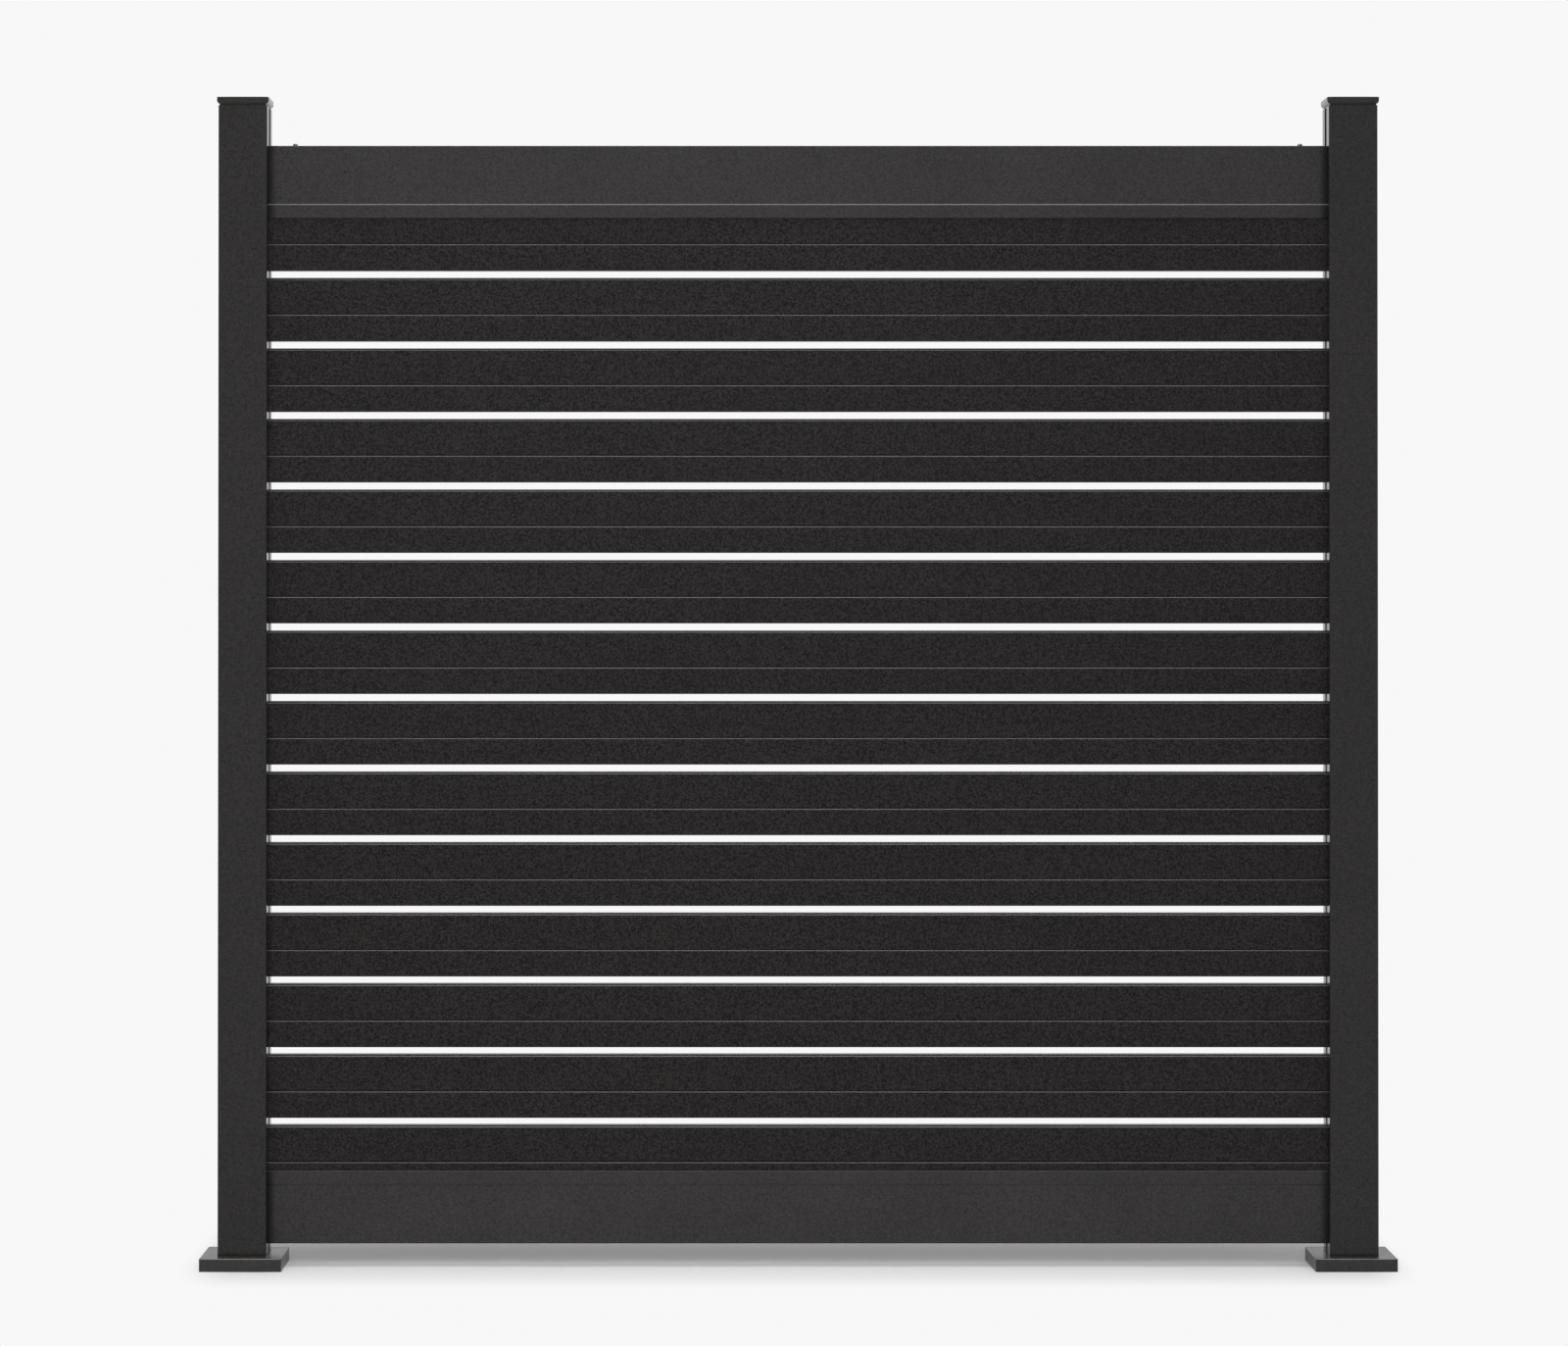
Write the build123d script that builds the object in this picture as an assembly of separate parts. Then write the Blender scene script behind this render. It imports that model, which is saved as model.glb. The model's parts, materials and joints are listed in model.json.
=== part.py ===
from build123d import *
import os

# Aluminium slat fence panel: two base-plated posts, a top and a bottom rail, and horizontal slats
# Millimetres. X runs along the fence, the front faces -Y, Z is up
# Origin: centre of the left base plate's underside

# Bay and slat layout
post_spacing = 1710.0
slat_count = 14
slat_height = 98.0
slat_gap = 11.0
rail_ground_clearance = 36.0
slat_lift_clearance = 11.0
post_reveal = 60.0

# Slat extrusion: two chambers, a V-groove on both faces at the height of the web, a ridge on the top edge
slat_thickness = 20.0
slat_wall = 1.6
slat_corner_radius = 1.5
slat_ridge_height = 2.0
slat_ridge_radius = 0.6
slat_shoulder = 1.5
slat_web = 3.0
slat_groove_height = 41.5
slat_groove_width = 4.0
slat_groove_depth = 1.5

# Post extrusion: square tube with a channel in its inner face that takes the slat ends
post_width = 75.0
post_wall = 2.5
post_corner_radius = 3.0
post_inner_radius = 1.0
channel_depth = 22.0
channel_wall = 2.5
channel_side_clearance = 0.5
slat_end_clearance = 4.0

# Rail extrusion: hollow body with a grooved edge, whose two lips stand proud of the body
rail_height = 112.0
rail_wall = 2.5
rail_groove_depth = 28.0
rail_lip_height = 20.0
rail_lip_proud = 1.5
rail_lip_bevel = 2.0
rail_corner_radius = 1.5
rail_lip_radius = 0.8

# Tongues: short box sections that carry the rail ends in the post channels
tongue_reach = 60.0
tongue_wall = 2.5
tongue_clearance = 0.3

# Spacer blocks in the channels, between the slat ends and under the bottom tongues
spacer_recess = 0.5
spacer_end_clearance = 2.0

# Channel cover: a U-shaped strip that closes the channel above the top rail
cover_strip_leg = 16.0
cover_strip_wall = 2.0
cover_strip_recess = 1.5
cover_strip_clearance = 0.25

# Post cap: shadow gap, bevelled rim, low crown, and a spigot in the post's main chamber
cap_overhang = 2.5
cap_gap_height = 2.6
cap_gap_inset = 1.8
cap_bevel_height = 3.6
cap_rim_height = 6.3
cap_rim_land = 2.0
cap_crown_height = 2.2
cap_crown_slope_length = 15.0
cap_spigot_length = 18.0
cap_spigot_wall = 2.0
cap_spigot_clearance = 0.4

# Base plate, drilled for four anchors
plate_margin = 21.5
plate_thickness = 8.0
plate_corner_radius = 8.0
anchor_hole_diameter = 10.0
anchor_edge_distance = 11.0

# Base cover: a shallow lid over the base plate with a square hole for the post
base_cover_plate_gap = 2.0
base_cover_height = 20.0
base_cover_wall = 2.0
base_cover_corner_radius = 2.5
base_cover_edge_bevel = 1.0
base_cover_post_gap = 0.4

# Sizes that follow from the ones above
channel_width = slat_thickness + 2 * channel_side_clearance
slat_pitch = slat_height + slat_gap
slat_insertion = channel_depth - slat_end_clearance
inner_face = post_width / 2
channel_floor = inner_face - channel_depth
rail_length = post_spacing - post_width
slat_length = rail_length + 2 * slat_insertion
rail_body_thickness = channel_width + 2 * rail_wall
rail_lip_thickness = rail_body_thickness + 2 * rail_lip_proud
rail_chamber_height = rail_height - rail_groove_depth - 2 * rail_wall
tongue_height = rail_chamber_height - 2 * tongue_clearance
tongue_thickness = channel_width - 2 * tongue_clearance
cap_width = post_width + 2 * cap_overhang
plate_width = post_width + 2 * plate_margin
anchor_hole_spacing = plate_width - 2 * anchor_edge_distance
base_cover_hollow_width = plate_width + 2 * base_cover_plate_gap
base_cover_width = base_cover_hollow_width + 2 * base_cover_wall
bottom_rail_underside = rail_ground_clearance
lowest_slat_underside = bottom_rail_underside + rail_height - rail_groove_depth
highest_slat_top = lowest_slat_underside + slat_count * slat_pitch - slat_gap
top_rail_top = highest_slat_top + slat_lift_clearance - rail_groove_depth + rail_height
post_top = top_rail_top + post_reveal
bottom_tongue_underside = bottom_rail_underside + rail_wall + tongue_clearance


def rounded_square(width, radius):
    """Square sketch with rounded corners, centred on the Z axis."""
    return RectangleRounded(width, width, radius)


def channel_box(inner_x, outer_x, width, low_z, high_z):
    """Block in the left post's channel between two X planes and two heights."""
    block = Box(outer_x - inner_x, width, high_z - low_z, align=(Align.MIN, Align.CENTER, Align.MIN))
    return Pos(inner_x, 0, low_z) * block


def along_fence(section, start_x, length):
    """Extrude a section drawn as thickness by height along X."""
    return Pos(start_x, 0, 0) * extrude(Plane.YZ * section, amount=length)


def post_section():
    """Square tube with the open channel on its +X face and the main chamber behind it."""
    outside = rounded_square(post_width, post_corner_radius)
    chamber = rounded_square(post_width - 2 * post_wall, post_inner_radius)
    channel_block = Pos(inner_face - (channel_depth + channel_wall) / 2, 0) * Rectangle(
        channel_depth + channel_wall, channel_width + 2 * channel_wall
    )
    channel = Pos(inner_face - channel_depth / 2, 0) * Rectangle(channel_depth, channel_width)
    return outside - (chamber - channel_block) - channel


def post():
    """Post standing on its base plate, channel towards +X."""
    return extrude(Pos(0, 0, plate_thickness) * post_section(), amount=post_top - plate_thickness)


def post_cap():
    """Cap seated on the post's end: set-back neck, bevel out to the rim, rim, low crown and spigot."""
    rim_top = cap_gap_height + cap_bevel_height + cap_rim_height
    rim_plan = Pos(0, 0, cap_gap_height) * rounded_square(cap_width, post_corner_radius + cap_overhang)
    lid = extrude(rim_plan, amount=rim_top - cap_gap_height)
    underside = lid.faces().sort_by(Axis.Z)[0]
    lid = chamfer(underside.edges(), cap_overhang, cap_bevel_height, reference=underside)
    neck_width = post_width - 2 * cap_gap_inset
    lid += extrude(rounded_square(neck_width, post_corner_radius - cap_gap_inset), amount=cap_gap_height)
    crown_width = cap_width - 2 * cap_rim_land
    crown_base = Pos(0, 0, rim_top) * Rectangle(crown_width, crown_width)
    crown_top_width = crown_width - 2 * cap_crown_slope_length
    crown_top = Pos(0, 0, rim_top + cap_crown_height) * Rectangle(crown_top_width, crown_top_width)
    lid += loft([crown_base, crown_top], ruled=True)
    chamber_low = -inner_face + post_wall + cap_spigot_clearance
    chamber_high = channel_floor - channel_wall - cap_spigot_clearance
    spigot_size = chamber_high - chamber_low
    spigot_width = post_width - 2 * post_wall - 2 * cap_spigot_clearance
    spigot = Rectangle(spigot_size, spigot_width) - Rectangle(
        spigot_size - 2 * cap_spigot_wall, spigot_width - 2 * cap_spigot_wall
    )
    spigot = Pos((chamber_low + chamber_high) / 2, 0, 0) * spigot
    return Pos(0, 0, post_top) * (lid + extrude(spigot, amount=-cap_spigot_length))


def base_plate():
    """Anchor plate under the post."""
    plate = extrude(rounded_square(plate_width, plate_corner_radius), amount=plate_thickness)
    hole = Cylinder(anchor_hole_diameter / 2, plate_thickness, align=(Align.CENTER, Align.CENTER, Align.MIN))
    for place in GridLocations(anchor_hole_spacing, anchor_hole_spacing, 2, 2):
        plate -= place * hole
    return plate


def base_cover():
    """Lid that hides the base plate, open below and round the post."""
    lid = extrude(rounded_square(base_cover_width, base_cover_corner_radius), amount=base_cover_height)
    lid = chamfer(lid.faces().sort_by(Axis.Z)[-1].edges(), base_cover_edge_bevel)
    hollow_plan = Rectangle(base_cover_hollow_width, base_cover_hollow_width)
    hollow = extrude(hollow_plan, amount=base_cover_height - base_cover_wall)
    post_hole_width = post_width + 2 * base_cover_post_gap
    post_hole = extrude(
        rounded_square(post_hole_width, post_corner_radius + base_cover_post_gap), amount=base_cover_height
    )
    return lid - hollow - post_hole


def channel_cover():
    """U-shaped strip in the channel between the top rail and the cap."""
    face_x = inner_face - cover_strip_recess
    width = channel_width - 2 * cover_strip_clearance
    strip = channel_box(face_x - cover_strip_leg, face_x, width, top_rail_top, post_top)
    hollow = channel_box(
        face_x - cover_strip_leg,
        face_x - cover_strip_wall,
        width - 2 * cover_strip_wall,
        top_rail_top,
        post_top,
    )
    return strip - hollow


def spacers():
    """Blocks between the slat ends, and one that stands the bottom tongue on the base plate."""
    inner_x = channel_floor + spacer_end_clearance
    outer_x = inner_face - spacer_recess
    blocks = [channel_box(inner_x, outer_x, slat_thickness, plate_thickness, bottom_tongue_underside)]
    for row in range(slat_count - 1):
        low_z = lowest_slat_underside + slat_height + row * slat_pitch
        blocks.append(channel_box(inner_x, outer_x, slat_thickness, low_z, low_z + slat_gap))
    return Part() + blocks


def tongue(low_z):
    """Box section that reaches from the left post's channel into a rail's chamber."""
    inner_x = channel_floor + spacer_end_clearance
    outer_x = inner_face + tongue_reach
    outside = Pos(0, low_z + tongue_height / 2) * Rectangle(tongue_thickness, tongue_height)
    inside = Pos(0, low_z + tongue_height / 2) * Rectangle(
        tongue_thickness - 2 * tongue_wall, tongue_height - 2 * tongue_wall
    )
    return along_fence(outside - inside, inner_x, outer_x - inner_x)


def rail_section():
    """Rail with its plain edge at height 0 and its groove opening upwards."""
    body = rail_body_thickness / 2
    lip = rail_lip_thickness / 2
    lip_start = rail_height - rail_lip_height
    right_side = [(body, 0), (body, lip_start - rail_lip_bevel), (lip, lip_start), (lip, rail_height)]
    left_side = [(-y, z) for y, z in reversed(right_side)]
    outline = make_face(Polyline(*right_side, *left_side, close=True))
    outline = fillet(outline.vertices().group_by(Axis.Y)[0], rail_corner_radius)
    outline = fillet(outline.vertices().group_by(Axis.Y)[-1], rail_lip_radius)
    chamber = Pos(0, rail_wall + rail_chamber_height / 2) * Rectangle(channel_width, rail_chamber_height)
    groove = Pos(0, rail_height - rail_groove_depth / 2) * Rectangle(channel_width, rail_groove_depth)
    return outline - chamber - groove


def bottom_rail():
    """Rail that carries the lowest slat in its groove."""
    return along_fence(Pos(0, bottom_rail_underside) * rail_section(), inner_face, rail_length)


def top_rail():
    """The same extrusion turned over, with room above the highest slat to lift it in."""
    return along_fence(Pos(0, top_rail_top) * Rot(0, 0, 180) * rail_section(), inner_face, rail_length)


def slat_section():
    """Two-chamber slat with its lower edge at height 0 and its top ridge set back from both faces."""
    face = slat_thickness / 2
    ridge = face - slat_shoulder
    ridge_foot = slat_height - slat_ridge_height
    front = [
        (face, 0),
        (face, slat_groove_height - slat_groove_width / 2),
        (face - slat_groove_depth, slat_groove_height),
        (face, slat_groove_height + slat_groove_width / 2),
        (face, ridge_foot - slat_shoulder),
        (ridge, ridge_foot),
        (ridge, slat_height),
    ]
    back = [(-y, z) for y, z in reversed(front)]
    section = make_face(Polyline(*front, *back, close=True))
    section = fillet(section.vertices().group_by(Axis.Y)[0], slat_corner_radius)
    section = fillet(section.vertices().group_by(Axis.Y)[-1], slat_ridge_radius)
    low_chamber = (slat_wall, slat_groove_height - slat_web / 2)
    high_chamber = (slat_groove_height + slat_web / 2, ridge_foot - slat_shoulder)
    for low_z, high_z in (low_chamber, high_chamber):
        chamber = Rectangle(slat_thickness - 2 * slat_wall, high_z - low_z)
        section -= Pos(0, (low_z + high_z) / 2) * chamber
    return section


def slat(row_from_bottom):
    """One slat, with its ends in the two post channels."""
    underside = lowest_slat_underside + row_from_bottom * slat_pitch
    return along_fence(Pos(0, underside) * slat_section(), inner_face - slat_insertion, slat_length)


# Each end of the panel is made at the left post; the right end is the same turned about Z
end_pieces = {
    "post": post(),
    "post_cap": post_cap(),
    "base_plate": base_plate(),
    "base_cover": base_cover(),
    "channel_cover": channel_cover(),
    "spacers": spacers(),
    "bottom_tongue": tongue(bottom_tongue_underside),
    "top_tongue": tongue(top_rail_top - rail_wall - tongue_clearance - tongue_height),
}
nodes = {"bottom_rail": bottom_rail(), "top_rail": top_rail()}
for name, piece in end_pieces.items():
    nodes[f"left_{name}"] = piece
    nodes[f"right_{name}"] = Pos(post_spacing, 0, 0) * Rot(0, 0, 180) * piece
for row in range(slat_count):
    nodes[f"slat_{slat_count - row:02d}"] = slat(row)

os.makedirs("parts", exist_ok=True)
for name, shape in nodes.items():
    export_step(shape, f"parts/{name}.step")
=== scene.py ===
"""Looks of the slat fence panel: powder-coated aluminium, rail screws, studio floor, light and camera."""
import json
import math
from collections import namedtuple

import bpy
import numpy as np
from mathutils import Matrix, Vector

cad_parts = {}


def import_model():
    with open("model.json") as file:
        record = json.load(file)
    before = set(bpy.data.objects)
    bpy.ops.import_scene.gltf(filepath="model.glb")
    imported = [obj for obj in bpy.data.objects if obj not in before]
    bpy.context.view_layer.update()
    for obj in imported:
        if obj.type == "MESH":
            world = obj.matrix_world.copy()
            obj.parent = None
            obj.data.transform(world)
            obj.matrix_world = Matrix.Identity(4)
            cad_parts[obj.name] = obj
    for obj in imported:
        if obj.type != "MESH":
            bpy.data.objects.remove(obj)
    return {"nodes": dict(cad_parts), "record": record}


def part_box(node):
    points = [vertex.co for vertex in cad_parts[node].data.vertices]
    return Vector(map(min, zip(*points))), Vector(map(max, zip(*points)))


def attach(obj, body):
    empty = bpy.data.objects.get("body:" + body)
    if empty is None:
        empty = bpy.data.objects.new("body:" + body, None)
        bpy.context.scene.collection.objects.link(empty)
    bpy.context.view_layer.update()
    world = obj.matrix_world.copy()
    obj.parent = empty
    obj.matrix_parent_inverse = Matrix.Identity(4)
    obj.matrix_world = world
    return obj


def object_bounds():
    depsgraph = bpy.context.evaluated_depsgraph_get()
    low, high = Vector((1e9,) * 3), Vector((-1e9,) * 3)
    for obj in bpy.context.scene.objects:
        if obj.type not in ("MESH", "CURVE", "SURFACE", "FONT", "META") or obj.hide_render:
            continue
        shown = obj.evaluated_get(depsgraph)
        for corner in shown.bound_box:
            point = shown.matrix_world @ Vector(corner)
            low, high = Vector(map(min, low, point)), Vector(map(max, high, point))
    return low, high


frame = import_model()
nodes = frame["nodes"]
cad_low, cad_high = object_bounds()
scene = bpy.context.scene
scene.view_settings.view_transform = "Standard"

X_AXIS = (1.0, 0.0, 0.0)
Z_AXIS = (0.0, 0.0, 1.0)

# Powder coat: scales are in cycles a metre, and most of a noise lies in NOISE_RANGE
NOISE_RANGE = (0.3, 0.7)
GRAIN_SCALE = 900.0
FLECK_SCALE = 330.0
PEEL_SCALE = 210.0
DUST_AND_TOP_LIGHT_SCALE = 38.0
MOTTLE_SCALE = 7.0

# What grain and flecks add to the coat's shade, and what the others multiply it by
GRAIN_SHADE = (-0.28, 0.30)
FLECK_SHADE = (-0.32, 0.32)
DARKEST_SPECK = 0.05
MOTTLE_SHADE = (0.93, 1.07)
LINE_SHADE = (0.96, 1.04)
# Darkest painted shade at a joint, standing in for the shade a neighbouring part casts there
PAINTED_JOINT_SHADE = 0.26

# The pale film, partly dust and partly painted top light, comes in as the normal's Z goes through the
# slope, in patches
DUST_AND_TOP_LIGHT_COLOUR = (0.23, 0.225, 0.215, 1.0)
DUST_AND_TOP_LIGHT_SLOPE = (0.45, 0.95)
DUST_AND_TOP_LIGHT_PATCHES = (0.5, 1.0)

# What each adds to the coat's roughness and to the height of its bump
MOTTLE_ROUGHNESS = (-0.03, 0.03)
LINE_ROUGHNESS = (-0.02, 0.02)
DUST_ROUGHNESS = 0.12
GRAIN_HEIGHT = 0.45
PEEL_HEIGHT = 0.3
LINE_HEIGHT = 0.12
BUMP_STRENGTH = 0.18
BUMP_DISTANCE = 0.0002

# Line scales in cycles a metre: lines along X or Z, or the same all ways on pieces that aren't extruded
ALONG_X = (1.5, 520.0, 520.0)
ALONG_Z = (520.0, 520.0, 1.5)
CAST = (90.0, 90.0, 90.0)

# Two places along an axis where a piece's painted shade starts, and how far it reaches
Joint = namedtuple("Joint", "axis low high reach")
FAR = 100.0
NO_JOINT = Joint(X_AXIS, -FAR, FAR, reach=0.01)

# Studio: the white that the camera and reflections see, and the light from all round
BACKDROP = (0.935, 0.935, 0.935, 1.0)
AMBIENT = (0.28, 0.28, 0.285, 1.0)


# Helpers

class Graph:
    """Adds nodes to one tree and links them by socket name or number."""

    def __init__(self, tree):
        self.tree = tree

    def node(self, kind, inputs=None, **settings):
        """One node: settings are its properties, inputs are values or sockets by name or number."""
        made = self.tree.nodes.new(kind)
        for name, value in settings.items():
            setattr(made, name, value)
        for name, value in (inputs or {}).items():
            self.feed(made.inputs[name], value)
        return made

    def feed(self, socket, value):
        """Link a socket to another, or set its value."""
        if isinstance(value, bpy.types.NodeSocket):
            self.tree.links.new(value, socket)
        else:
            socket.default_value = value

    def math(self, operation, first, second=0.0, third=0.0):
        """Result of a Math node."""
        return self.node("ShaderNodeMath", {0: first, 1: second, 2: third}, operation=operation).outputs[0]

    def vector(self, operation, first, second=(0.0, 0.0, 0.0)):
        """Vector that a Vector Math node gives."""
        return self.node("ShaderNodeVectorMath", {0: first, 1: second}, operation=operation).outputs[0]

    def measure(self, operation, first, second=(0.0, 0.0, 0.0)):
        """Number that a Vector Math node gives, such as a length or a dot product."""
        made = self.node("ShaderNodeVectorMath", {0: first, 1: second}, operation=operation)
        return made.outputs["Value"]

    def remap(self, value, old, new, smooth=False):
        """Value moved from one range to another, kept inside the new one."""
        kind = "SMOOTHSTEP" if smooth else "LINEAR"
        inputs = {0: value, 1: old[0], 2: old[1], 3: new[0], 4: new[1]}
        return self.node("ShaderNodeMapRange", inputs, interpolation_type=kind).outputs[0]

    def mix(self, factor, first, second):
        """Colour between two; a Mix node takes colours at inputs 6 and 7 and gives one at output 2."""
        return self.node("ShaderNodeMix", {0: factor, 6: first, 7: second}, data_type="RGBA").outputs[2]

    def noise(self, place, scale, detail, roughness=0.5):
        """Noise from 0 to 1 at a scale in cycles a metre."""
        inputs = {"Vector": place, "Scale": scale, "Detail": detail, "Roughness": roughness}
        return self.node("ShaderNodeTexNoise", inputs).outputs[0]


def new_group(name, inputs, outputs):
    """Empty shader group with the named sockets; returns its graph, input and output nodes."""
    tree = bpy.data.node_groups.new(name, "ShaderNodeTree")
    for kinds, side in ((inputs, "INPUT"), (outputs, "OUTPUT")):
        for label, kind in kinds:
            tree.interface.new_socket(label, in_out=side, socket_type=kind)
    graph = Graph(tree)
    return graph, graph.node("NodeGroupInput"), graph.node("NodeGroupOutput")


def new_material(name):
    """Material with nodes; returns it, its graph and its shader."""
    made = bpy.data.materials.new(name)
    made.use_nodes = True
    return made, Graph(made.node_tree), made.node_tree.nodes["Principled BSDF"]


def new_object(name, data):
    """Object at the origin, linked to the scene."""
    made = bpy.data.objects.new(name, data)
    scene.collection.objects.link(made)
    return made


# Finishes

def powder_coat_group():
    """Fine-textured powder coat: grain and orange peel in the bump, drawn lines along the extrusion,
    faint mottling, a pale film on faces that look up, partly settled dirt and partly painted top light,
    and painted shade towards two joints, where a neighbouring part shades the piece."""
    inputs = [
        ("Colour", "NodeSocketColor"),
        ("Roughness", "NodeSocketFloat"),
        ("Grain", "NodeSocketFloat"),
        ("Line Scale", "NodeSocketVector"),
        ("Dust And Top Light", "NodeSocketFloat"),
        ("Joint Axis", "NodeSocketVector"),
        ("Low Joint", "NodeSocketFloat"),
        ("High Joint", "NodeSocketFloat"),
        ("Joint Reach", "NodeSocketFloat"),
    ]
    outputs = [
        ("Colour", "NodeSocketColor"),
        ("Roughness", "NodeSocketFloat"),
        ("Normal", "NodeSocketVector"),
    ]
    graph, given, result = new_group("powder_coat", inputs, outputs)
    place = graph.node("ShaderNodeTexCoord").outputs["Object"]
    grain = graph.noise(place, GRAIN_SCALE, detail=2.0, roughness=0.6)
    fleck = graph.noise(place, FLECK_SCALE, detail=1.0)
    peel = graph.noise(place, PEEL_SCALE, detail=1.0)
    mottle = graph.noise(place, MOTTLE_SCALE, detail=3.0)
    patches = graph.noise(place, DUST_AND_TOP_LIGHT_SCALE, detail=4.0, roughness=0.65)
    drawn = graph.vector("MULTIPLY", place, given.outputs["Line Scale"])
    lines = graph.noise(drawn, 1.0, detail=2.0, roughness=0.7)

    speckle = graph.remap(grain, NOISE_RANGE, GRAIN_SHADE)
    speckle = graph.math("ADD", speckle, graph.remap(fleck, NOISE_RANGE, FLECK_SHADE))
    shade = graph.math("MULTIPLY_ADD", speckle, given.outputs["Grain"], 1.0)
    shade = graph.math("MAXIMUM", shade, DARKEST_SPECK)
    shade = graph.math("MULTIPLY", shade, graph.remap(mottle, NOISE_RANGE, MOTTLE_SHADE))
    shade = graph.math("MULTIPLY", shade, graph.remap(lines, NOISE_RANGE, LINE_SHADE))
    # Painted shade: the colour darkens towards two joints along an axis, where a neighbouring part shades
    # the piece
    along = graph.measure("DOT_PRODUCT", place, given.outputs["Joint Axis"])
    from_low = graph.math("SUBTRACT", along, given.outputs["Low Joint"])
    from_high = graph.math("SUBTRACT", given.outputs["High Joint"], along)
    from_joint = graph.math("MINIMUM", from_low, from_high)
    painted_shade = graph.remap(from_joint, (0.0, given.outputs["Joint Reach"]), (PAINTED_JOINT_SHADE, 1.0), smooth=True)
    shade = graph.math("MULTIPLY", shade, painted_shade)
    shaded = {0: given.outputs["Colour"], "Scale": shade}
    coat = graph.node("ShaderNodeVectorMath", shaded, operation="SCALE").outputs[0]

    # Dust with painted top light: faces that look up turn paler, in patches, and a little rougher
    normal = graph.node("ShaderNodeNewGeometry").outputs["Normal"]
    up = graph.node("ShaderNodeSeparateXYZ", {0: normal}).outputs["Z"]
    facing_up = graph.remap(up, DUST_AND_TOP_LIGHT_SLOPE, (0.0, 1.0), smooth=True)
    facing_up = graph.math("MULTIPLY", facing_up, graph.remap(patches, NOISE_RANGE, DUST_AND_TOP_LIGHT_PATCHES))
    dust_and_top_light = graph.math("MULTIPLY", facing_up, given.outputs["Dust And Top Light"])
    graph.feed(result.inputs["Colour"], graph.mix(dust_and_top_light, coat, DUST_AND_TOP_LIGHT_COLOUR))

    rough = graph.remap(mottle, NOISE_RANGE, MOTTLE_ROUGHNESS)
    rough = graph.math("ADD", given.outputs["Roughness"], rough)
    rough = graph.math("ADD", rough, graph.remap(lines, NOISE_RANGE, LINE_ROUGHNESS))
    rough = graph.math("MULTIPLY_ADD", dust_and_top_light, DUST_ROUGHNESS, rough)
    graph.feed(result.inputs["Roughness"], rough)

    height = graph.math("MULTIPLY", grain, GRAIN_HEIGHT)
    height = graph.math("MULTIPLY_ADD", peel, PEEL_HEIGHT, height)
    height = graph.math("MULTIPLY_ADD", lines, LINE_HEIGHT, height)
    relief = {"Strength": BUMP_STRENGTH, "Distance": BUMP_DISTANCE, "Height": height}
    graph.feed(result.inputs["Normal"], graph.node("ShaderNodeBump", relief).outputs[0])
    return graph.tree


powder_coat = powder_coat_group()


def coated(name, colour, roughness, specular, grain, lines, dust_and_top_light, joint=NO_JOINT):
    """Dark finish in one colour; its upward film is partly settled dirt and partly painted top light, and
    joint says where its painted shade lies.
    """
    made, graph, shader = new_material(name)
    shader.inputs["Specular IOR Level"].default_value = specular
    inputs = {
        "Colour": (*colour, 1.0),
        "Roughness": roughness,
        "Grain": grain,
        "Line Scale": lines,
        "Dust And Top Light": dust_and_top_light,
        "Joint Axis": joint.axis,
        "Low Joint": joint.low,
        "High Joint": joint.high,
        "Joint Reach": joint.reach,
    }
    coat = graph.node("ShaderNodeGroup", inputs, node_tree=powder_coat)
    graph.feed(shader.inputs["Base Color"], coat.outputs["Colour"])
    graph.feed(shader.inputs["Roughness"], coat.outputs["Roughness"])
    graph.feed(shader.inputs["Normal"], coat.outputs["Normal"])
    return made


rail_low, rail_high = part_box("top_rail")
post_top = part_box("left_post")[1].z
# Painted shade: the posts shade the rail's ends, and the cap's overhang shades its own foot at the post
rail_to_posts = Joint(X_AXIS, rail_low.x, rail_high.x, reach=0.014)
cap_to_post = Joint(Z_AXIS, post_top, FAR, reach=0.0048)

post_coat = coated(
    "post_coat", (0.0124, 0.0112, 0.0108), roughness=0.17, specular=0.25,
    grain=1.4, lines=ALONG_Z, dust_and_top_light=0.30,
)
rail_coat = coated(
    "rail_coat", (0.0300, 0.0280, 0.0283), roughness=0.36, specular=0.10,
    grain=0.8, lines=ALONG_X, dust_and_top_light=0.30, joint=rail_to_posts,
)
slat_coat = coated(
    "slat_coat", (0.0103, 0.0089, 0.0087), roughness=0.34, specular=0.14,
    grain=3.2, lines=ALONG_X, dust_and_top_light=0.30,
)
cap_coat = coated(
    "cap_coat", (0.0225, 0.0206, 0.0196), roughness=0.12, specular=0.18,
    grain=1.0, lines=CAST, dust_and_top_light=0.35, joint=cap_to_post,
)
cover_coat = coated(
    "cover_coat", (0.0250, 0.0233, 0.0224), roughness=0.30, specular=0.24,
    grain=1.0, lines=CAST, dust_and_top_light=0.04,
)
plate_coat = coated(
    "plate_coat", (0.0240, 0.0240, 0.0240), roughness=0.55, specular=0.20,
    grain=1.0, lines=CAST, dust_and_top_light=0.0,
)
spacer_plastic = coated(
    "spacer_plastic", (0.0120, 0.0120, 0.0120), roughness=0.60, specular=0.30,
    grain=0.5, lines=CAST, dust_and_top_light=0.0,
)
screw_coat = coated(
    "screw_coat", (0.0180, 0.0180, 0.0180), roughness=0.35, specular=0.40,
    grain=0.5, lines=CAST, dust_and_top_light=0.1,
)

finish_of_slot = {
    "post_coating": post_coat,
    "rail_coating": rail_coat,
    "slat_coating": slat_coat,
    "cap_coating": cap_coat,
    "cover_coating": cover_coat,
    "plate_coating": plate_coat,
    "spacer_plastic": spacer_plastic,
}
for row in frame["record"]["subparts"]:
    slots = nodes[row["node"]].data.materials
    slots.clear()
    slots.append(finish_of_slot[row["material_slot"]])


# Screws that hold the top rail to its tongues

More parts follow.
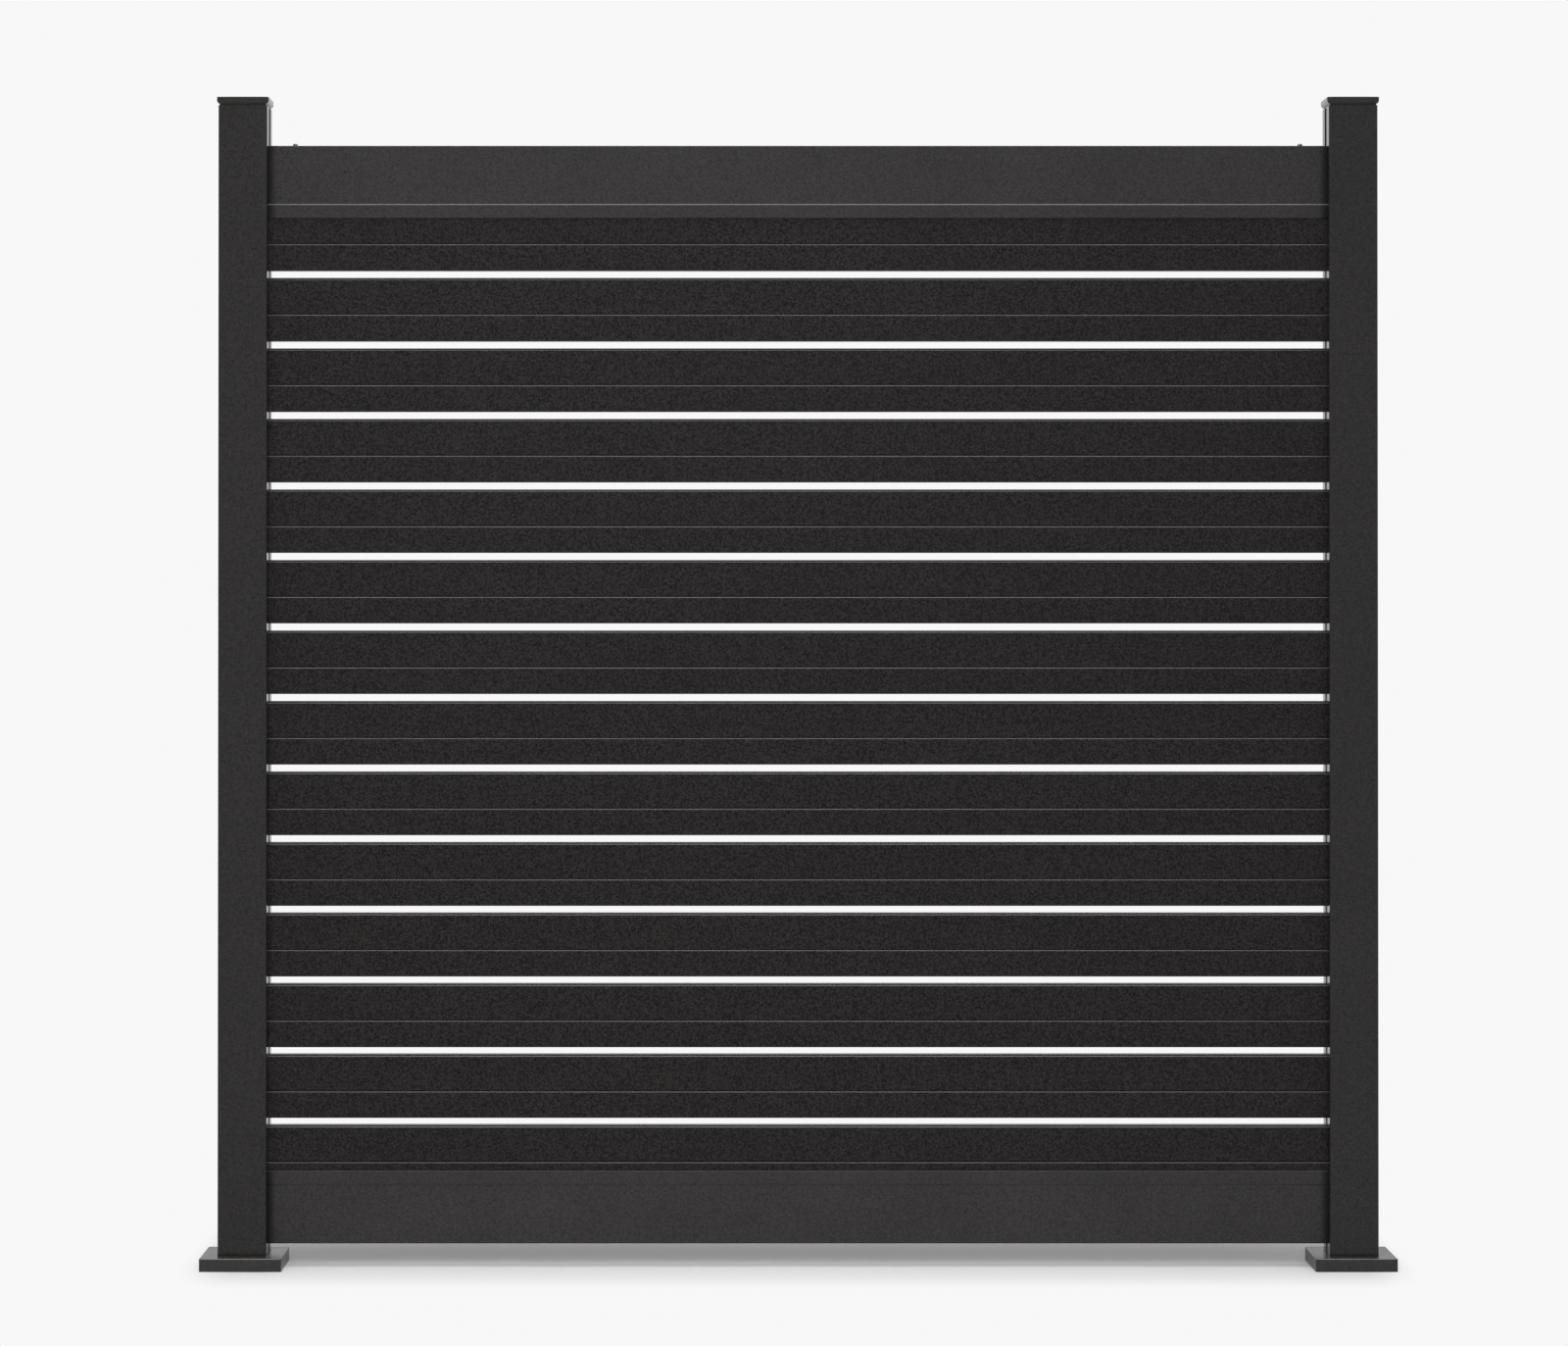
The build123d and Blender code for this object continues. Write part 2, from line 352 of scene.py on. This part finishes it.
def screw_head(name, centre):
    """Pan head: a polar grid whose height falls from the crown to the rim as a fourth power of the radius,
    less a tapered cross recess, closed by a straight wall down to the rail and a flat underside."""
    radius, crown, wall = 0.0038, 0.0044, 0.0022
    arm_length, arm_width, recess = 0.0021, 0.00055, 0.0013
    end_taper, side_taper = 0.0005, 0.00018
    rings, spokes, first_ring = 26, 72, 0.02
    angle = np.arange(spokes) * 2 * math.pi / spokes
    ring = radius * np.linspace(first_ring, 1.0, rings)
    x = np.outer(ring, np.cos(angle))
    y = np.outer(ring, np.sin(angle))
    z = wall + (crown - wall) * (1 - (np.hypot(x, y) / radius) ** 4)
    across = np.minimum(np.abs(x), np.abs(y))
    along = np.maximum(np.abs(x), np.abs(y))
    in_width = np.clip((arm_width - across) / side_taper, 0, 1)
    in_length = np.clip((arm_length - along) / end_taper, 0, 1)
    z = z - recess * (in_width * in_length)
    dome = np.stack([x, y, z], axis=-1).reshape(-1, 3)
    foot = np.stack([x[-1], y[-1], np.zeros(spokes)], axis=-1)
    poles = np.array([[0.0, 0.0, crown - recess], [0.0, 0.0, 0.0]])
    points = np.concatenate([dome, foot, poles]) + np.array(centre)

    here = np.arange((rings + 1) * spokes).reshape(rings + 1, spokes)
    beside = np.roll(here, -1, axis=1)
    top_pole = np.full(spokes, here.size)
    foot_pole = np.full(spokes, here.size + 1)
    skin = np.stack([here[:-1], here[1:], beside[1:], beside[:-1]], axis=-1).reshape(-1, 4)
    crown_fan = np.stack([top_pole, here[0], beside[0]], axis=-1)
    foot_fan = np.stack([foot_pole, beside[-1], here[-1]], axis=-1)
    mesh = bpy.data.meshes.new(name)
    mesh.from_pydata(points.tolist(), [], skin.tolist() + crown_fan.tolist() + foot_fan.tolist())

    # The wall is the last ring of the skin, before the two fans; it and the underside are flat
    smooth = np.ones(len(mesh.polygons), bool)
    smooth[-3 * spokes:-2 * spokes] = False
    smooth[-spokes:] = False
    mesh.polygons.foreach_set("use_smooth", smooth)
    mesh.materials.append(screw_coat)
    head = new_object(name, mesh)
    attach(head, "root")


screw_from_post = 0.040
screw_head("left_rail_screw", (rail_low.x + screw_from_post, 0.0, rail_high.z))
screw_head("right_rail_screw", (rail_high.x - screw_from_post, 0.0, rail_high.z))


# Floor, light and camera

def shows_backdrop(graph):
    """1 for rays from the camera, reflections and rays through glass, 0 for the rest."""
    path = graph.node("ShaderNodeLightPath")
    shown = graph.math("MAXIMUM", path.outputs["Is Camera Ray"], path.outputs["Is Glossy Ray"])
    return graph.math("MAXIMUM", shown, path.outputs["Is Transmission Ray"])


def floor_white(middle, half):
    """Pale matt floor that runs out into the white of the background: the white comes in with the distance
    past the fence's sides, front and back, fast at the sides and slowly behind."""
    start_inset, fade_length = 0.06, 0.24
    side_rate, rear_rate = 2.4, 0.20
    made, graph, shader = new_material("floor_white")
    shader.inputs["Base Color"].default_value = (0.88, 0.88, 0.88, 1.0)
    shader.inputs["Roughness"].default_value = 0.9
    shader.inputs["Specular IOR Level"].default_value = 0.0

    place = graph.node("ShaderNodeTexCoord").outputs["Object"]
    offset = graph.node("ShaderNodeSeparateXYZ", {0: graph.vector("SUBTRACT", place, middle)})
    beside = graph.math("ABSOLUTE", offset.outputs["X"])
    beside = graph.math("SUBTRACT", beside, half.x - start_inset)
    beside = graph.math("MULTIPLY", beside, side_rate)
    before = graph.math("MULTIPLY", offset.outputs["Y"], -1.0)
    before = graph.math("SUBTRACT", before, half.y - start_inset)
    behind = graph.math("SUBTRACT", offset.outputs["Y"], half.y)
    behind = graph.math("MULTIPLY", behind, rear_rate)
    past = {0: beside, 1: graph.math("MAXIMUM", before, behind)}
    outside = graph.vector("MAXIMUM", graph.node("ShaderNodeCombineXYZ", past).outputs[0])
    away = graph.remap(graph.measure("LENGTH", outside), (0.0, fade_length), (0.0, 1.0), smooth=True)

    white = graph.node("ShaderNodeEmission", {"Color": BACKDROP, "Strength": 1.0})
    share = graph.math("MULTIPLY", away, shows_backdrop(graph))
    fade = graph.node("ShaderNodeMixShader", {0: share, 1: shader.outputs[0], 2: white.outputs[0]})
    graph.feed(made.node_tree.nodes["Material Output"].inputs["Surface"], fade.outputs[0])
    return made


def floor():
    """Flat square just under the fence, far larger than the picture, that takes its shadow."""
    reach, drop = 14.0, 0.0003
    middle = (cad_low + cad_high) / 2
    half = (cad_high - cad_low) / 2
    corners = reach * np.array([(-1, -1, 0), (1, -1, 0), (1, 1, 0), (-1, 1, 0)])
    corners = corners + np.array((middle.x, middle.y, cad_low.z - drop))
    mesh = bpy.data.meshes.new("floor")
    mesh.from_pydata(corners.tolist(), [], [(0, 1, 2, 3)])
    mesh.materials.append(floor_white(middle, half))
    plane = new_object("floor", mesh)


def world():
    """White backdrop for what the camera and reflections see, softer ambient light for the rest."""
    made = bpy.data.worlds.new("studio")
    made.use_nodes = True
    scene.world = made
    graph = Graph(made.node_tree)
    colour = graph.mix(shows_backdrop(graph), AMBIENT, BACKDROP)
    graph.feed(made.node_tree.nodes["Background"].inputs["Color"], colour)


def lamp(name, place, aim, size, power, diffuse=True, glossy=True):
    """Soft box that faces a point; it may light only matt surfaces or show only as a reflection."""
    light = bpy.data.lights.new(name, "AREA")
    light.shape = "RECTANGLE"
    light.size, light.size_y = size
    light.energy = power
    made = new_object(name, light)
    made.location = place
    made.rotation_euler = (Vector(aim) - Vector(place)).to_track_quat("-Z", "Y").to_euler()
    made.visible_camera = False
    made.visible_diffuse = diffuse
    made.visible_glossy = glossy


def photo_camera():
    """Camera in front of the fence, tilted up a little, its lens shifted to frame what the photo shows."""
    photo_width, focal_pixels, sensor_width = 1600.0, 4404.0, 36.0
    degrees_from_down = 90.43
    lens = bpy.data.cameras.new("camera")
    lens.sensor_fit = "HORIZONTAL"
    lens.sensor_width = sensor_width
    lens.lens = sensor_width * focal_pixels / photo_width
    lens.shift_x = 0.0358
    lens.shift_y = -0.07
    lens.clip_end = 100.0
    camera = new_object("camera", lens)
    camera.location = (0.747, -6.677, 1.035)
    camera.rotation_euler = (math.radians(degrees_from_down), 0.0, 0.0)
    scene.camera = camera


floor()
world()
lamp("overhead", (0.85, -0.85, 4.6), aim=(0.85, -0.84, 0.0), size=(3.6, 1.6), power=62.0, glossy=False)
lamp("sheen", (0.80, -1.0, 4.6), aim=(0.80, -0.99, 0.0), size=(3.4, 2.6), power=390.0, diffuse=False)
lamp("rear_sheen", (0.80, 1.9, 4.6), aim=(0.80, 1.91, 0.0), size=(3.4, 1.8), power=170.0, diffuse=False)
lamp("front", (0.45, -3.0, 1.5), aim=(0.75, 0.0, 0.8), size=(1.6, 1.6), power=63.0, glossy=False)
lamp("low", (0.85, -0.45, 0.10), aim=(0.85, -0.05, 0.40), size=(2.2, 0.12), power=0.9, glossy=False)
lamp("rear", (2.4, 6.0, 1.4), aim=(0.95, 0.0, 0.9), size=(2.6, 2.2), power=140.0, glossy=False)
photo_camera()
